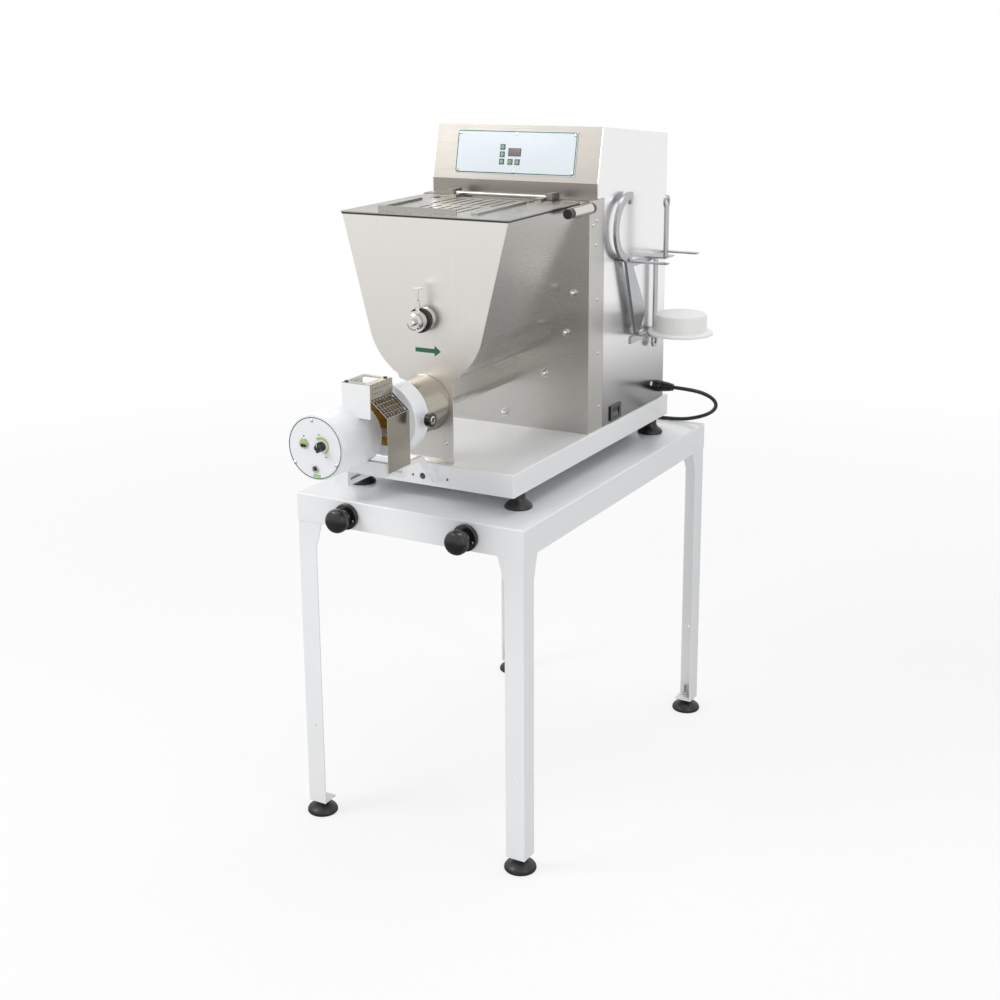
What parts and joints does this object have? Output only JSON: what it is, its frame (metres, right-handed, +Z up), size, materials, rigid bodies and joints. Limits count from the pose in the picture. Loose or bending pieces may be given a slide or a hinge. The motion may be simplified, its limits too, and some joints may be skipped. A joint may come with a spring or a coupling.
{
  "type": "electric pasta maker on a stand",
  "caption": "Floor-standing electric pasta extruder: lidded mixing hopper, auger barrel with ring nut, rotary cutter, control cabinet and legged stand.",
  "frame": {"origin": "on the floor below the middle of the stand and of the machine", "axes": "+Z up, -Y to the die and the cutter at the front, +X to the side with the switch"},
  "size_m": [0.5715, 1.059, 1.3113],
  "materials": {
    "white_enamel": "gloss",
    "black_rubber": "satin",
    "black_plastic": "satin",
    "zinc_steel": "satin",
    "brushed_stainless": "brushed",
    "polished_stainless": "polished",
    "panel_film": "satin",
    "green_key": "satin",
    "dark_red_window": "gloss",
    "white_plastic": "satin",
    "clear_grey_plastic": "gloss",
    "brass": "machined",
    "dark_mesh": "satin",
    "grey_cast": "satin",
    "nylon": "satin"
  },
  "bodies": {
    "machine": {"stand_top": "white_enamel", "stand_legs": "white_enamel", "leg_feet": "black_rubber", "foot_bolts": "zinc_steel", "front_bobbins": "black_rubber", "base_plate": "white_enamel", "machine_feet": "black_rubber", "front_wall": "brushed_stainless", "strip_rivets": "polished_stainless", "wall_nuts": "polished_stainless", "side_cover_right": "polished_stainless", "side_cover_left": "polished_stainless", "rear_cover": "brushed_stainless", "control_head": "brushed_stainless", "control_plate": "panel_film", "display_window": "dark_red_window", "panel_screws": "polished_stainless", "main_switch": "black_plastic", "cable_gland": "black_plastic", "hopper_tub": "brushed_stainless", "hopper_front": "brushed_stainless", "lid_seal": "black_rubber", "side_sleeve": "polished_stainless", "sleeve_ends": "black_plastic", "bearing_boss": "polished_stainless", "boss_seal": "black_rubber", "barrel": "polished_stainless", "die": "brass", "gear_box": "grey_cast", "motor": "grey_cast", "cutter_housing": "white_enamel", "cutter_face": "white_plastic", "cutter_hood": "white_enamel", "cutter_guard": "polished_stainless", "cutter_bracket": "white_enamel", "tool_rack": "brushed_stainless", "hook_spanner": "zinc_steel", "dough_bars": "zinc_steel", "nylon_parts": "nylon", "power_cord": "black_rubber", "cord_coil": "black_rubber", "mains_plug": "black_plastic"},
    "lid_body": {"lid": "brushed_stainless"},
    "auger_line": {"auger": "brushed_stainless", "auger_gear": "grey_cast"},
    "idler_line": {"idler_gear": "grey_cast"},
    "mixer_line": {"mixer": "brushed_stainless", "mixer_gear": "grey_cast"},
    "blade_line": {"cutter_blade": "polished_stainless"},
    "speed_knob_body": {"speed_knob": "black_plastic"},
    "round_switch_body": {"round_switch": "clear_grey_plastic"},
    "rocker_body": {"main_rocker": "clear_grey_plastic"},
    "lift_pin_body": {"lift_pin": "polished_stainless"},
    "nut_body": {"ring_nut": "white_enamel", "lever_knobs": "black_plastic"},
    "key_start_body": {"key_start": "green_key"},
    "key_mix_body": {"key_mix": "green_key"},
    "key_extrude_body": {"key_extrude": "green_key"},
    "key_less_body": {"key_less": "green_key"},
    "key_more_body": {"key_more": "green_key"}
  },
  "joints": [
    {"name": "lid_hinge", "type": "hinge", "parent": "machine", "child": "lid_body", "pos_m": [0, -0.05, 1.186], "axis": [-1, 0, 0], "range_deg": [0, 95]},
    {"name": "auger_spin", "type": "hinge", "parent": "machine", "child": "auger_line", "pos_m": [0, -0.2, 0.844], "axis": [0, 1, 0], "continuous": true},
    {"name": "idler_spin", "type": "hinge", "parent": "machine", "child": "idler_line", "pos_m": [0, -0.011, 0.92], "axis": [0, 1, 0], "continuous": true},
    {"name": "mixer_spin", "type": "hinge", "parent": "machine", "child": "mixer_line", "pos_m": [0, -0.2, 0.996], "axis": [0, 1, 0], "continuous": true},
    {"name": "blade_spin", "type": "hinge", "parent": "machine", "child": "blade_line", "pos_m": [-0.044, -0.5, 0.822], "axis": [0, 1, 0], "continuous": true},
    {"name": "speed_knob_turn", "type": "hinge", "parent": "machine", "child": "speed_knob_body", "pos_m": [-0.03, -0.62, 0.827], "axis": [0, 1, 0], "range_deg": [-135, 135]},
    {"name": "round_switch_turn", "type": "hinge", "parent": "machine", "child": "round_switch_body", "pos_m": [-0.066, -0.62, 0.828], "axis": [0, 1, 0], "range_deg": [0, 90]},
    {"name": "rocker_tilt", "type": "hinge", "parent": "machine", "child": "rocker_body", "pos_m": [0.181, 0.083, 0.753], "axis": [0, 1, 0], "range_deg": [-8, 8]},
    {"name": "lift_pin_slide", "type": "slide", "parent": "machine", "child": "lift_pin_body", "axis": [0, 0, 1], "range_m": [0, 0.008]},
    {"name": "ring_nut_turn", "type": "hinge", "parent": "machine", "child": "nut_body", "pos_m": [0, -0.455, 0.844], "axis": [0, 1, 0], "range_deg": [-40, 0]},
    {"name": "key_start_press", "type": "slide", "parent": "machine", "child": "key_start_body", "axis": [0, 0.9775, -0.211], "range_m": [0, 0.0006]},
    {"name": "key_mix_press", "type": "slide", "parent": "machine", "child": "key_mix_body", "axis": [0, 0.9775, -0.211], "range_m": [0, 0.0006]},
    {"name": "key_extrude_press", "type": "slide", "parent": "machine", "child": "key_extrude_body", "axis": [0, 0.9775, -0.211], "range_m": [0, 0.0006]},
    {"name": "key_less_press", "type": "slide", "parent": "machine", "child": "key_less_body", "axis": [0, 0.9775, -0.211], "range_m": [0, 0.0006]},
    {"name": "key_more_press", "type": "slide", "parent": "machine", "child": "key_more_body", "axis": [0, 0.9775, -0.211], "range_m": [0, 0.0006]}
  ],
  "couplings": [
    {"joint": "idler_spin", "follows": "auger_spin", "ratio": -1},
    {"joint": "mixer_spin", "follows": "auger_spin", "ratio": 1}
  ]
}
